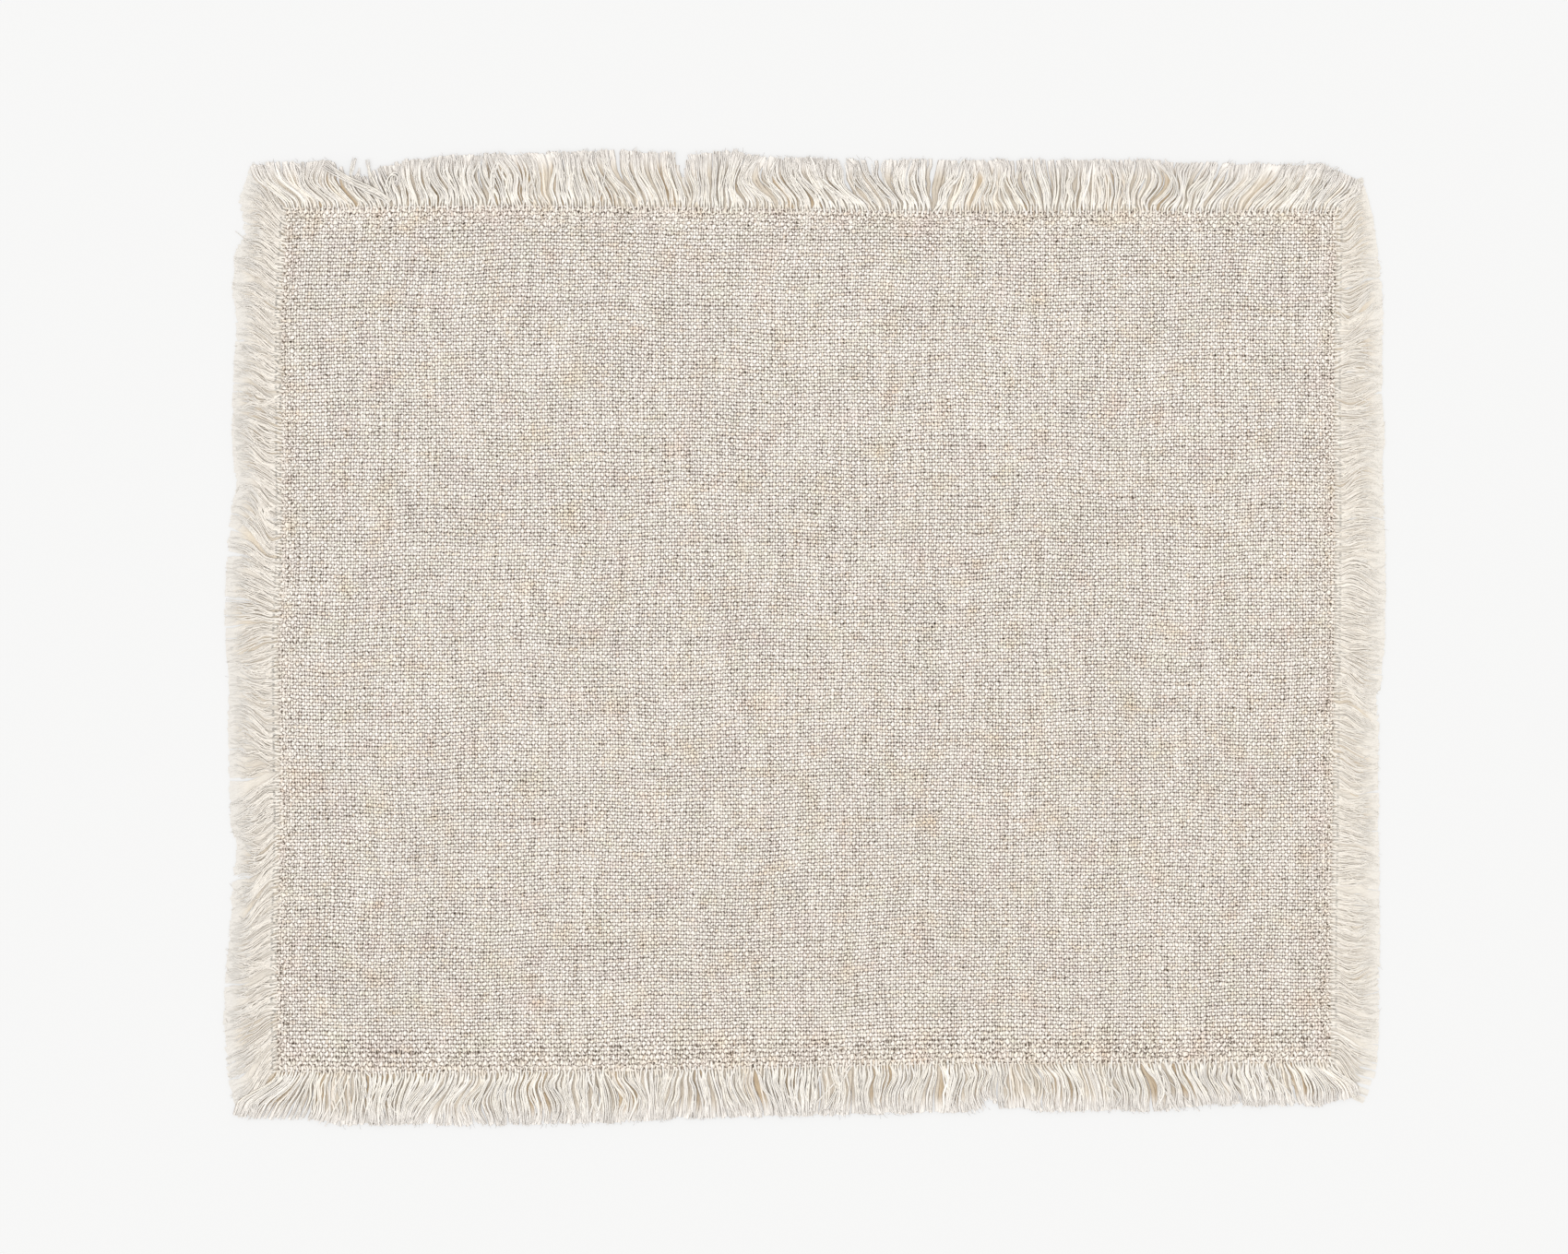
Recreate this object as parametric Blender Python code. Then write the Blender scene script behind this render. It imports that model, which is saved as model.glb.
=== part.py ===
# Woven placemat lying flat on a table, with a fringe of its own yarn ends on all four sides.
#
# The woven field is one flat cut of coarse cloth. Each side carries one fringe: a narrow strip of
# yarn ends beside the cloth's edge, with locks that lie level on the table and spread at the corners.
# +X runs along the long sides, +Y towards the far long side, +Z up. The origin is on the underside,
# at the middle of the mat. Tables are in millimetres and degrees, and the model is in metres.

import math
import random
from collections import namedtuple

import bmesh
import bpy
from mathutils import Matrix, Vector, noise

MM = 0.001

CLOTH_THICKNESS = 1.8
EDGE_STEP = 9.0  # spacing of the points along the cloth's edge
CLEARANCE = 0.3  # between the cloth's edge and each fringe strip
CORNER_MARGIN = 0.35  # keeps two fringes apart where they meet on a corner's diagonal

STRIP_WIDTH = 2.6  # the band of yarn ends that the locks are rooted in
LOCK_PITCH = 5.45  # from one lock's middle to the next one's
LOCK_GAP = 0.5  # between two neighbouring locks
MOST_NARROWED = 0.42  # share of a lock's width that the gap beside it may take at a tight place
TIP_THICKNESS = 0.9
THICKNESS_SWELL = 0.22  # how much thicker or thinner a lock is than its neighbours
ROOT_JITTER = 0.35  # how much deeper or shallower one lock parts from the strip than another
REACH_JITTER = 0.05  # share by which a lock is longer or shorter than the table says
SWAY = 0.8  # how far a lock's middle bows sideways
SWAY_LENGTH = 31.0  # from one sideways bow to the next along a side

# A row for each stretch of a side's woven edge: where along the side, and how far from the middle.
EdgeRow = namedtuple("EdgeRow", "along out")

# A row for each group of yarns: where along the side, how they lean from straight out
# (in degrees, towards the side's positive end), and how far past the woven edge they reach.
FringeRow = namedtuple("FringeRow", "along lean reach")

TOP_EDGE = (
    EdgeRow(-204.2, 170.2), EdgeRow(-157.0, 170.9), EdgeRow(-110.0, 171.3), EdgeRow(-26.0, 170.2),
    EdgeRow(47.0, 169.1), EdgeRow(156.0, 169.1), EdgeRow(210.0, 169.4),
)
BOTTOM_EDGE = (
    EdgeRow(-207.8, -170.5), EdgeRow(-164.5, -171.3), EdgeRow(-62.6, -170.2), EdgeRow(-11.6, -169.1),
    EdgeRow(46.6, -167.6), EdgeRow(134.0, -167.3), EdgeRow(207.5, -166.9),
)
LEFT_EDGE = (
    EdgeRow(-170.5, -207.8), EdgeRow(-130.0, -208.2), EdgeRow(-75.0, -206.8), EdgeRow(-2.0, -207.5),
    EdgeRow(38.0, -206.0), EdgeRow(127.0, -206.4), EdgeRow(170.2, -204.2),
)
RIGHT_EDGE = (
    EdgeRow(-166.9, 207.5), EdgeRow(-130.0, 207.5), EdgeRow(-75.0, 208.2), EdgeRow(-2.0, 209.0),
    EdgeRow(48.6, 209.3), EdgeRow(107.0, 209.0), EdgeRow(169.4, 210.0),
)

TOP_FRINGE = (
    FringeRow(-204.2, -38.3, 19.0), FringeRow(-196.0, -33.0, 19.0), FringeRow(-186.0, -27.0, 19.5),
    FringeRow(-178.0, -29.0, 19.0), FringeRow(-172.5, -36.0, 13.0), FringeRow(-167.5, -27.0, 12.5),
    FringeRow(-162.0, -13.0, 17.0), FringeRow(-149.0, -12.0, 19.5), FringeRow(-132.0, -12.0, 21.0),
    FringeRow(-108.0, -6.0, 21.5), FringeRow(-91.0, -15.0, 22.5), FringeRow(-79.0, -20.0, 23.0),
    FringeRow(-59.0, -15.0, 23.0), FringeRow(-48.5, -8.0, 22.5), FringeRow(-46.0, -3.0, 12.5),
    FringeRow(-43.0, 0.0, 22.5), FringeRow(-30.0, 2.0, 23.5), FringeRow(-14.0, -10.0, 21.5),
    FringeRow(4.0, -20.0, 21.5), FringeRow(18.0, -31.0, 21.0), FringeRow(31.0, -31.0, 21.0),
    FringeRow(40.0, -22.0, 21.0), FringeRow(47.5, -4.0, 21.5), FringeRow(60.0, 15.0, 21.0),
    FringeRow(86.0, -25.0, 21.0), FringeRow(100.0, -2.0, 21.5), FringeRow(133.0, 7.0, 21.0),
    FringeRow(148.0, 23.0, 20.0), FringeRow(162.0, 33.0, 19.5), FringeRow(178.0, 34.0, 19.0),
    FringeRow(195.0, 25.0, 19.0), FringeRow(203.0, 30.0, 16.0), FringeRow(210.0, 42.4, 11.5),
)
BOTTOM_FRINGE = (
    FringeRow(-207.8, -43.7, 18.5), FringeRow(-199.5, -37.0, 19.0), FringeRow(-190.0, -8.0, 20.0),
    FringeRow(-180.0, 2.0, 22.0), FringeRow(-163.0, -11.0, 21.0), FringeRow(-148.0, -20.0, 21.2),
    FringeRow(-134.0, -23.0, 21.8), FringeRow(-121.0, -6.0, 22.0), FringeRow(-95.0, 0.0, 22.0),
    FringeRow(-70.0, 10.0, 21.0), FringeRow(-50.0, -10.0, 20.0), FringeRow(-32.0, 11.0, 19.8),
    FringeRow(-12.0, 1.0, 20.0), FringeRow(30.0, 0.0, 20.5), FringeRow(50.5, -8.0, 20.0),
    FringeRow(68.0, 1.0, 20.0), FringeRow(72.5, 2.0, 14.0), FringeRow(77.0, 2.0, 18.5),
    FringeRow(97.0, 17.0, 20.0), FringeRow(120.0, 7.0, 19.7), FringeRow(136.0, 15.0, 19.7),
    FringeRow(156.0, 12.0, 17.2), FringeRow(185.0, 16.0, 18.0), FringeRow(198.0, 26.0, 17.5),
    FringeRow(207.5, 41.6, 13.5),
)
LEFT_FRINGE = (
    FringeRow(-170.5, -46.3, 16.7), FringeRow(-159.0, -38.0, 20.0), FringeRow(-146.0, -15.0, 22.0),
    FringeRow(-126.0, -17.0, 21.0), FringeRow(-112.0, -19.0, 20.0), FringeRow(-95.0, -31.0, 19.5),
    FringeRow(-77.0, -20.0, 17.5), FringeRow(-69.0, -16.0, 20.0), FringeRow(-52.0, -7.0, 20.5),
    FringeRow(-42.0, 13.0, 20.5), FringeRow(-28.0, 12.0, 20.2), FringeRow(-12.0, 0.0, 20.5),
    FringeRow(-2.0, -11.0, 21.0), FringeRow(8.0, 2.0, 22.0), FringeRow(14.0, 16.0, 22.0),
    FringeRow(28.0, 19.0, 21.5), FringeRow(39.0, 32.0, 20.5), FringeRow(46.0, 36.0, 18.5),
    FringeRow(57.0, 24.0, 18.5), FringeRow(72.0, 15.0, 20.3), FringeRow(101.0, 14.0, 19.7),
    FringeRow(112.0, 9.0, 19.0), FringeRow(118.0, 26.0, 18.3), FringeRow(133.0, 23.0, 20.0),
    FringeRow(148.0, 14.0, 20.0), FringeRow(153.5, 24.0, 16.0), FringeRow(162.0, 35.0, 18.5),
    FringeRow(170.2, 51.7, 15.5),
)
RIGHT_FRINGE = (
    FringeRow(-166.9, -48.4, 14.0), FringeRow(-161.0, -28.0, 18.5), FringeRow(-153.0, -16.0, 19.8),
    FringeRow(-142.0, -14.0, 19.7), FringeRow(-131.0, 0.0, 20.0), FringeRow(-112.0, -6.0, 20.0),
    FringeRow(-85.0, -3.0, 19.5), FringeRow(-73.0, -13.0, 19.0), FringeRow(-62.0, 2.0, 18.8),
    FringeRow(-49.0, -18.0, 18.5), FringeRow(-35.0, -12.0, 18.5), FringeRow(-23.0, -24.0, 18.2),
    FringeRow(-17.0, -16.0, 17.0), FringeRow(-9.0, -26.0, 19.5), FringeRow(-3.0, -8.0, 20.4),
    FringeRow(16.0, -9.0, 20.8), FringeRow(33.0, 3.0, 20.8), FringeRow(50.0, 2.0, 20.2),
    FringeRow(61.0, 14.0, 19.3), FringeRow(79.0, 3.0, 20.3), FringeRow(90.0, 6.0, 19.4),
    FringeRow(108.0, 2.0, 19.8), FringeRow(121.0, 18.0, 19.8), FringeRow(134.0, 6.0, 19.0),
    FringeRow(149.0, 15.0, 17.2), FringeRow(160.0, 23.0, 14.6), FringeRow(169.4, 47.6, 11.0),
)

# A side runs along X or along Y, and its fringe points to the side's positive or negative out.
Side = namedtuple("Side", "name runs_along_x out_sign edge fringe")
SIDES = (
    Side("fringe_top", True, 1, TOP_EDGE, TOP_FRINGE),
    Side("fringe_bottom", True, -1, BOTTOM_EDGE, BOTTOM_FRINGE),
    Side("fringe_left", False, -1, LEFT_EDGE, LEFT_FRINGE),
    Side("fringe_right", False, 1, RIGHT_EDGE, RIGHT_FRINGE),
)

# How wide a lock is, as a share of its root, at shares of its length. It frays to a narrow tip.
LockSection = namedtuple("LockSection", "depth width")
LOCK_SECTIONS = (
    LockSection(0.35, 0.95), LockSection(0.72, 0.84), LockSection(1.0, 0.48),
)

NATURAL_LINEN = (0.68, 0.62, 0.55, 1.0)
CREAM_COTTON = (0.78, 0.72, 0.64, 1.0)
FIBRE_ROUGHNESS = 0.92
SWELL_SCALE = 0.16  # changes of thickness per millimetre
SWELL_ONSET = 3.0  # the swell is full a third of the way along a lock
WELD = 0.001  # distance at which a cap's points join the walls
SEED = 11


def read_table(rows, column, along):
    """A column's value at a place along the side, on straight lines between the rows."""
    if along <= rows[0].along:
        return getattr(rows[0], column)
    for row, following in zip(rows, rows[1:]):
        if along <= following.along:
            share = (along - row.along) / (following.along - row.along)
            first, last = getattr(row, column), getattr(following, column)
            return first + (last - first) * share
    return getattr(rows[-1], column)


def edge_out(side, along):
    """Where the woven edge lies at a place along the side."""
    return read_table(side.edge, "out", along)


def fringe_point(side, along, depth):
    """The place in the mat that the yarns rooted at along have reached, depth millimetres out."""
    start, end = side.edge[0].along, side.edge[-1].along
    lean = math.radians(read_table(side.fringe, "lean", along))
    reach = read_table(side.fringe, "reach", along)
    near_corner = min(1.0, min(along - start, end - along) / SWAY_LENGTH)
    bow = SWAY * math.sin(2 * math.pi * along / SWAY_LENGTH) * max(0.0, near_corner)
    leaned = along + depth * math.tan(lean) + bow * math.sin(math.pi * min(1.0, depth / reach))
    out = edge_out(side, along) + side.out_sign * depth
    return (leaned, out) if side.runs_along_x else (out, leaned)


def toward(point, target, distance):
    """A point moved by distance along the line to the target, and never past its middle."""
    dx, dy = target[0] - point[0], target[1] - point[1]
    length = math.hypot(dx, dy)
    share = min(MOST_NARROWED, distance / length)
    return (point[0] + dx * share, point[1] + dy * share)


def stations(start, end, step):
    """Evenly spaced places from start to end, about step apart."""
    count = max(1, round((end - start) / step))
    return [start + (end - start) * i / count for i in range(count + 1)]


def lock_points(side, left, right, root, reach):
    """One lock's outline, up its left side, across its tip and down its right side."""
    middle = (left + right) / 2
    half = (right - left) / 2
    left_side = [toward(fringe_point(side, left, root), fringe_point(side, right, root), LOCK_GAP / 2)]
    right_side = [toward(fringe_point(side, right, root), fringe_point(side, left, root), LOCK_GAP / 2)]
    for section in LOCK_SECTIONS:
        depth = root + (reach - root) * section.depth
        near = fringe_point(side, middle - half * section.width, depth)
        far = fringe_point(side, middle + half * section.width, depth)
        left_side.append(toward(near, far, LOCK_GAP / 2))
        right_side.append(toward(far, near, LOCK_GAP / 2))
    return left_side + right_side[::-1]


def fringe_outline(side, generator):
    """The comb-shaped outline of one fringe: the strip's inner edge, then every lock in turn."""
    start = side.edge[0].along + CORNER_MARGIN
    end = side.edge[-1].along - CORNER_MARGIN
    bounds = stations(start, end, LOCK_PITCH)
    outline = []
    for left, right in zip(bounds, bounds[1:]):
        reach = read_table(side.fringe, "reach", (left + right) / 2)
        reach *= 1 + generator.uniform(-REACH_JITTER, REACH_JITTER)
        root = STRIP_WIDTH + generator.uniform(-ROOT_JITTER, ROOT_JITTER)
        outline += lock_points(side, left, right, root, reach)
    inner = [fringe_point(side, along, CLEARANCE) for along in stations(start, end, EDGE_STEP)]
    return outline + inner[::-1]


def cloth_outline():
    """The woven field's outline, round its four slightly bowed sides."""
    top, bottom, left, right = SIDES
    rims = []
    for side in (top, right, bottom, left):
        places = stations(side.edge[0].along, side.edge[-1].along, EDGE_STEP)
        rims.append([fringe_point(side, along, 0.0) for along in places])
    rims[1].reverse()
    rims[2].reverse()
    return [point for rim in rims for point in rim[:-1]]


def weld_caps(mesh):
    """Joins a filled curve's loose caps to its walls."""
    shell = bmesh.new()
    shell.from_mesh(mesh)
    bmesh.ops.remove_doubles(shell, verts=shell.verts, dist=WELD)
    shell.to_mesh(mesh)
    shell.free()


def flat_solid(name, outline, runs_along_x=True):
    """A mesh object of the cloth's thickness, standing on the table, from a filled 2D outline.

    An outline that runs along X is filled a quarter turn round and then turned back, because the
    fill can leave holes where a long row of points lies level.
    """
    turn = Matrix.Rotation(math.radians(90 if runs_along_x else 0), 4, "Z")
    curve = bpy.data.curves.new(name + "_outline", "CURVE")
    curve.dimensions = "2D"
    curve.fill_mode = "BOTH"
    curve.extrude = CLOTH_THICKNESS / 2
    spline = curve.splines.new("POLY")
    spline.points.add(len(outline) - 1)
    for point, (x, y) in zip(spline.points, outline):
        point.co = (*(turn @ Vector((x, y, 0.0))), 1.0)
    spline.use_cyclic_u = True
    flat = bpy.data.objects.new(name + "_outline", curve)
    bpy.context.scene.collection.objects.link(flat)
    bpy.context.view_layer.update()
    mesh = bpy.data.meshes.new_from_object(flat.evaluated_get(bpy.context.evaluated_depsgraph_get()))
    bpy.data.objects.remove(flat)
    mesh.name = name
    weld_caps(mesh)
    mesh.transform(turn.inverted())
    mesh.transform(Matrix.Scale(MM, 4) @ Matrix.Translation((0.0, 0.0, CLOTH_THICKNESS / 2)))
    return bpy.data.objects.new(name, mesh)


def thin_towards_tips(solid, side):
    """Lowers a fringe's top from the strip's thickness to its tips, unevenly from lock to lock."""
    longest = max(row.reach for row in side.fringe)
    for vertex in solid.data.vertices:
        if vertex.co.z < CLOTH_THICKNESS * MM / 2:
            continue
        x, y = vertex.co.x / MM, vertex.co.y / MM
        along, out = (x, y) if side.runs_along_x else (y, x)
        depth = abs(out - edge_out(side, along))
        share = min(1.0, max(0.0, depth - STRIP_WIDTH) / (longest - STRIP_WIDTH))
        swell = THICKNESS_SWELL * noise.noise(Vector((x, y, 0.0)) * SWELL_SCALE)
        swell *= min(1.0, SWELL_ONSET * share)
        height = CLOTH_THICKNESS + (TIP_THICKNESS - CLOTH_THICKNESS) * share + swell
        vertex.co.z = height * MM


def cloth_material(name, colour):
    """A matte fibre surface."""
    material = bpy.data.materials.new(name)
    material.use_nodes = True
    shader = material.node_tree.nodes["Principled BSDF"]
    shader.inputs["Base Color"].default_value = colour
    shader.inputs["Roughness"].default_value = FIBRE_ROUGHNESS
    shader.inputs["Metallic"].default_value = 0.0
    material.diffuse_color = colour
    return material


def main():
    for old in list(bpy.data.objects):
        bpy.data.objects.remove(old)
    placemat = bpy.data.collections.new("placemat")
    bpy.context.scene.collection.children.link(placemat)

    linen = cloth_material("natural_linen", NATURAL_LINEN)
    cotton = cloth_material("cream_cotton", CREAM_COTTON)

    cloth = flat_solid("cloth", cloth_outline())
    cloth.data.materials.append(linen)
    placemat.objects.link(cloth)

    generator = random.Random(SEED)
    for side in SIDES:
        fringe = flat_solid(side.name, fringe_outline(side, generator), side.runs_along_x)
        thin_towards_tips(fringe, side)
        fringe.data.materials.append(cotton)
        placemat.objects.link(fringe)


main()
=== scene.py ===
# Woven placemat with a fringe of its own yarn ends, lying flat and seen from straight above.
# Sizes in the dictionaries are in millimetres and degrees unless a note says otherwise.

import math

import bpy
import numpy as np
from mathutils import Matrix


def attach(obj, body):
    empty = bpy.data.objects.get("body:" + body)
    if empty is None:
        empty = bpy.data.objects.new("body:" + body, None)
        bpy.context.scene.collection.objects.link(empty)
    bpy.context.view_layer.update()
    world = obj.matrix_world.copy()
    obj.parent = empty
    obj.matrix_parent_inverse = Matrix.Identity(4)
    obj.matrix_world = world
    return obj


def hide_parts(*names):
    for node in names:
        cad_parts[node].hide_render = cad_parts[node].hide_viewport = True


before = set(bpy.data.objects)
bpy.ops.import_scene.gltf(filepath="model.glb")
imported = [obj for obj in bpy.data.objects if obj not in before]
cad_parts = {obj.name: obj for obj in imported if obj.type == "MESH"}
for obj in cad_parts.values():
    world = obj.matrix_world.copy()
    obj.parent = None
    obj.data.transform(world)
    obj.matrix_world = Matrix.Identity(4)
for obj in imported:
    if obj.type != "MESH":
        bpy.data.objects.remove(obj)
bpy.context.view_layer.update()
bpy.ops.object.select_all(action="DESELECT")
mm = 0.001
print("frame loaded, nodes:", ", ".join(sorted(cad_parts)))

# the woven edge is rows of (along, out), the fringe rows of (along, lean, reach), as in the solids
sides = {
    "top": {
        "alongX": True, "sign": 1, "node": "fringe_top",
        "edge": [(-204.2, 170.2), (-157.0, 170.9), (-110.0, 171.3), (-26.0, 170.2), (47.0, 169.1),
                 (156.0, 169.1), (210.0, 169.4)],
        "fringe": [(-204.2, -38.3, 17.8), (-196.0, -33.0, 18.8), (-186.0, -27.0, 19.5),
                   (-178.0, -29.0, 19.0), (-172.5, -36.0, 13.0), (-167.5, -27.0, 12.5),
                   (-162.0, -13.0, 17.0), (-149.0, -12.0, 19.5), (-132.0, -12.0, 21.0),
                   (-108.0, -6.0, 21.5), (-91.0, -15.0, 22.5), (-79.0, -20.0, 23.0),
                   (-59.0, -15.0, 23.0), (-48.5, -8.0, 22.5), (-46.0, -3.0, 12.5),
                   (-43.0, 0.0, 22.5), (-30.0, 2.0, 23.5), (-14.0, -10.0, 21.5),
                   (4.0, -20.0, 21.5), (18.0, -31.0, 21.0), (31.0, -31.0, 21.0),
                   (40.0, -22.0, 21.0), (47.5, -4.0, 21.5), (60.0, 15.0, 21.0),
                   (86.0, -25.0, 21.0), (100.0, -2.0, 21.5), (133.0, 7.0, 21.0),
                   (148.0, 23.0, 20.0), (162.0, 33.0, 19.5), (178.0, 34.0, 19.0),
                   (195.0, 25.0, 19.0), (203.0, 30.0, 16.0), (210.0, 42.4, 11.5)],
    },
    "bottom": {
        "alongX": True, "sign": -1, "node": "fringe_bottom",
        "edge": [(-207.8, -170.5), (-164.5, -171.3), (-62.6, -170.2), (-11.6, -169.1),
                 (46.6, -167.6), (134.0, -167.3), (207.5, -166.9)],
        "fringe": [(-207.8, -43.7, 18.5), (-199.5, -37.0, 19.0), (-190.0, -8.0, 20.0),
                   (-180.0, 2.0, 22.0), (-163.0, -11.0, 21.0), (-148.0, -20.0, 21.2),
                   (-134.0, -23.0, 21.8), (-121.0, -6.0, 22.0), (-95.0, 0.0, 22.0),
                   (-70.0, 10.0, 21.0), (-50.0, -10.0, 20.0), (-32.0, 11.0, 19.8),
                   (-12.0, 1.0, 20.0), (30.0, 0.0, 20.5), (50.5, -8.0, 20.0),
                   (68.0, 1.0, 20.0), (72.5, 2.0, 14.0), (77.0, 2.0, 18.5),
                   (97.0, 17.0, 20.0), (120.0, 7.0, 19.7), (136.0, 15.0, 19.7),
                   (156.0, 12.0, 17.2), (185.0, 16.0, 18.0), (198.0, 26.0, 17.5),
                   (207.5, 41.6, 13.5)],
    },
    "left": {
        "alongX": False, "sign": -1, "node": "fringe_left",
        "edge": [(-170.5, -207.8), (-130.0, -208.2), (-75.0, -206.8), (-2.0, -207.5),
                 (38.0, -206.0), (127.0, -206.4), (170.2, -204.2)],
        "fringe": [(-170.5, -46.3, 16.7), (-159.0, -38.0, 20.0), (-146.0, -15.0, 22.0),
                   (-126.0, -17.0, 21.0), (-112.0, -19.0, 20.0), (-95.0, -31.0, 19.5),
                   (-77.0, -20.0, 17.5), (-69.0, -16.0, 20.0), (-52.0, -7.0, 20.5),
                   (-42.0, 13.0, 20.5), (-28.0, 12.0, 20.2), (-12.0, 0.0, 20.5),
                   (-2.0, -11.0, 21.0), (8.0, 2.0, 22.0), (14.0, 16.0, 22.0),
                   (28.0, 19.0, 21.5), (39.0, 32.0, 20.5), (46.0, 36.0, 18.5),
                   (57.0, 24.0, 18.5), (72.0, 15.0, 20.3), (101.0, 14.0, 19.7),
                   (112.0, 9.0, 19.0), (118.0, 26.0, 18.3), (133.0, 23.0, 20.0),
                   (148.0, 14.0, 20.0), (153.5, 24.0, 16.0), (162.0, 35.0, 18.5),
                   (170.2, 50.5, 14.5)],
    },
    "right": {
        "alongX": False, "sign": 1, "node": "fringe_right",
        "edge": [(-166.9, 207.5), (-130.0, 207.5), (-75.0, 208.2), (-2.0, 209.0), (48.6, 209.3),
                 (107.0, 209.0), (169.4, 210.0)],
        "fringe": [(-166.9, -48.4, 14.0), (-161.0, -28.0, 18.5), (-153.0, -16.0, 19.8),
                   (-142.0, -14.0, 19.7), (-131.0, 0.0, 20.0), (-112.0, -6.0, 20.0),
                   (-85.0, -3.0, 19.5), (-73.0, -13.0, 19.0), (-62.0, 2.0, 18.8),
                   (-49.0, -18.0, 18.5), (-35.0, -12.0, 18.5), (-23.0, -24.0, 18.2),
                   (-17.0, -16.0, 17.0), (-9.0, -26.0, 19.5), (-3.0, -8.0, 20.4),
                   (16.0, -9.0, 20.8), (33.0, 3.0, 20.8), (50.0, 2.0, 20.2),
                   (61.0, 14.0, 19.3), (79.0, 3.0, 20.3), (90.0, 6.0, 19.4),
                   (108.0, 2.0, 19.8), (121.0, 18.0, 19.8), (134.0, 6.0, 19.0),
                   (149.0, 15.0, 17.2), (160.0, 23.0, 14.6), (169.4, 47.6, 11.0)],
    },
}


def edgeOut(side, along):
    rows = np.array(side["edge"])
    return np.interp(along, rows[:, 0], rows[:, 1])


def readFringe(side, along, column):
    rows = np.array(side["fringe"])
    return np.interp(along, rows[:, 0], rows[:, column])


def onMat(side, along, out):
    # along and out of a side as x and y of the mat
    return (along, out) if side["alongX"] else (out, along)


# shader wiring


def srgb(red, green, blue):
    # a colour as a picture shows it, 0 to 255, for a node that wants it linear
    def toLinear(c):
        c /= 255
        return c / 12.92 if c <= 0.04045 else ((c + 0.055) / 1.055) ** 2.4
    return (toLinear(red), toLinear(green), toLinear(blue), 1.0)


class Wire:
    # a socket that can be added, multiplied and so on
    def __init__(self, graph, socket):
        self.graph, self.socket = graph, socket

    def calc(self, operation, *others):
        return self.graph.add("ShaderNodeMath", {"operation": operation}, [self, *others])

    def __add__(self, other):
        return self.calc("ADD", other)

    def __sub__(self, other):
        return self.calc("SUBTRACT", other)

    def __mul__(self, other):
        return self.calc("MULTIPLY", other)

    def __truediv__(self, other):
        return self.calc("DIVIDE", other)

    def __rsub__(self, other):
        return self.graph.add("ShaderNodeMath", {"operation": "SUBTRACT"}, [other, self])

    def __neg__(self):
        return self * -1.0

    __radd__ = __add__
    __rmul__ = __mul__


class Graph:
    # one material's nodes
    def __init__(self, name):
        self.material = bpy.data.materials.new(name)
        self.material.use_nodes = True
        self.nodes = self.material.node_tree.nodes
        self.links = self.material.node_tree.links
        self.shader = self.nodes["Principled BSDF"]

    def plug(self, socket, value):
        if isinstance(value, Wire):
            self.links.new(value.socket, socket)
        else:
            socket.default_value = value

    def add(self, kind, settings, values, output=0):
        # settings come first, and a ramp's stops are pairs of place and colour
        node = self.nodes.new(kind)
        for setting, value in settings.items():
            if setting == "stops":
                ramp = node.color_ramp
                while len(ramp.elements) < len(value):
                    ramp.elements.new(0.5)
                for element, (place, colour) in zip(ramp.elements, value):
                    element.position, element.color = place, colour
            else:
                setattr(node, setting, value)
        for socket, value in values.items() if isinstance(values, dict) else enumerate(values):
            self.plug(node.inputs[socket], value)
        return Wire(self, node.outputs[output])

    def attribute(self, name):
        # the three numbers that a point attribute holds
        vector = self.add("ShaderNodeAttribute", {"attribute_name": name}, [], "Vector")
        return [self.add("ShaderNodeSeparateXYZ", {}, [vector], axis) for axis in "XYZ"]

    def place(self, x, y, z=0.0):
        return self.add("ShaderNodeCombineXYZ", {}, [x, y, z])

    def noise(self, vector, scale, detail=2.0, roughness=0.5):
        # about -1 to 1
        settings = {"noise_dimensions": "3D"}
        values = {"Vector": vector, "Scale": scale, "Detail": detail, "Roughness": roughness}
        return self.add("ShaderNodeTexNoise", settings, values, "Fac") * 2.0 - 1.0

    def span(self, value, low, high, toLow=0.0, toHigh=1.0):
        # value eased from low..high onto toLow..toHigh
        return self.add("ShaderNodeMapRange", {"interpolation_type": "SMOOTHSTEP"},
                        [value, low, high, toLow, toHigh])

    def blend(self, share, first, second, kind="MIX"):
        settings = {"data_type": "RGBA", "blend_type": kind, "clamp_factor": True}
        return self.add("ShaderNodeMix", settings, {0: share, 6: first, 7: second}, 2)

    def shade(self, colour, value):
        # the colour made darker or lighter by a number round 1
        return self.add("ShaderNodeVectorMath", {"operation": "SCALE"}, {0: colour, 3: value})

    def bump(self, height, strength, distance):
        values = {"Height": height, "Strength": strength, "Distance": distance}
        return self.add("ShaderNodeBump", {}, values)

    def finish(self, colour, roughness, normal, sheen):
        self.plug(self.shader.inputs["Base Color"], colour)
        self.plug(self.shader.inputs["Roughness"], roughness)
        self.plug(self.shader.inputs["Normal"], normal)
        self.shader.inputs["Specular IOR Level"].default_value = 0.2
        self.shader.inputs["Sheen Weight"].default_value = sheen
        self.shader.inputs["Sheen Roughness"].default_value = 0.5
        return self.material


# camera, light and floor

view = {
    "centreX": -8.0, "centreY": 4.9,  # the middle of the picture on the table
    "width": 618.8,  # what the picture spans across
    "lens": 100.0, "sensor": 36.0,
}
light = {
    "world": 0.865, "worldColour": (1.0, 0.995, 0.985, 1.0),
    "sun": 1.0, "sunAngle": 60.0, "sunTilt": 18.0, "sunTurn": -35.0,
    "floorBelow": 0.25, "floorColour": 0.30, "floorGlow": 0.582,  # the sweep is lit from behind
}


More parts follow.
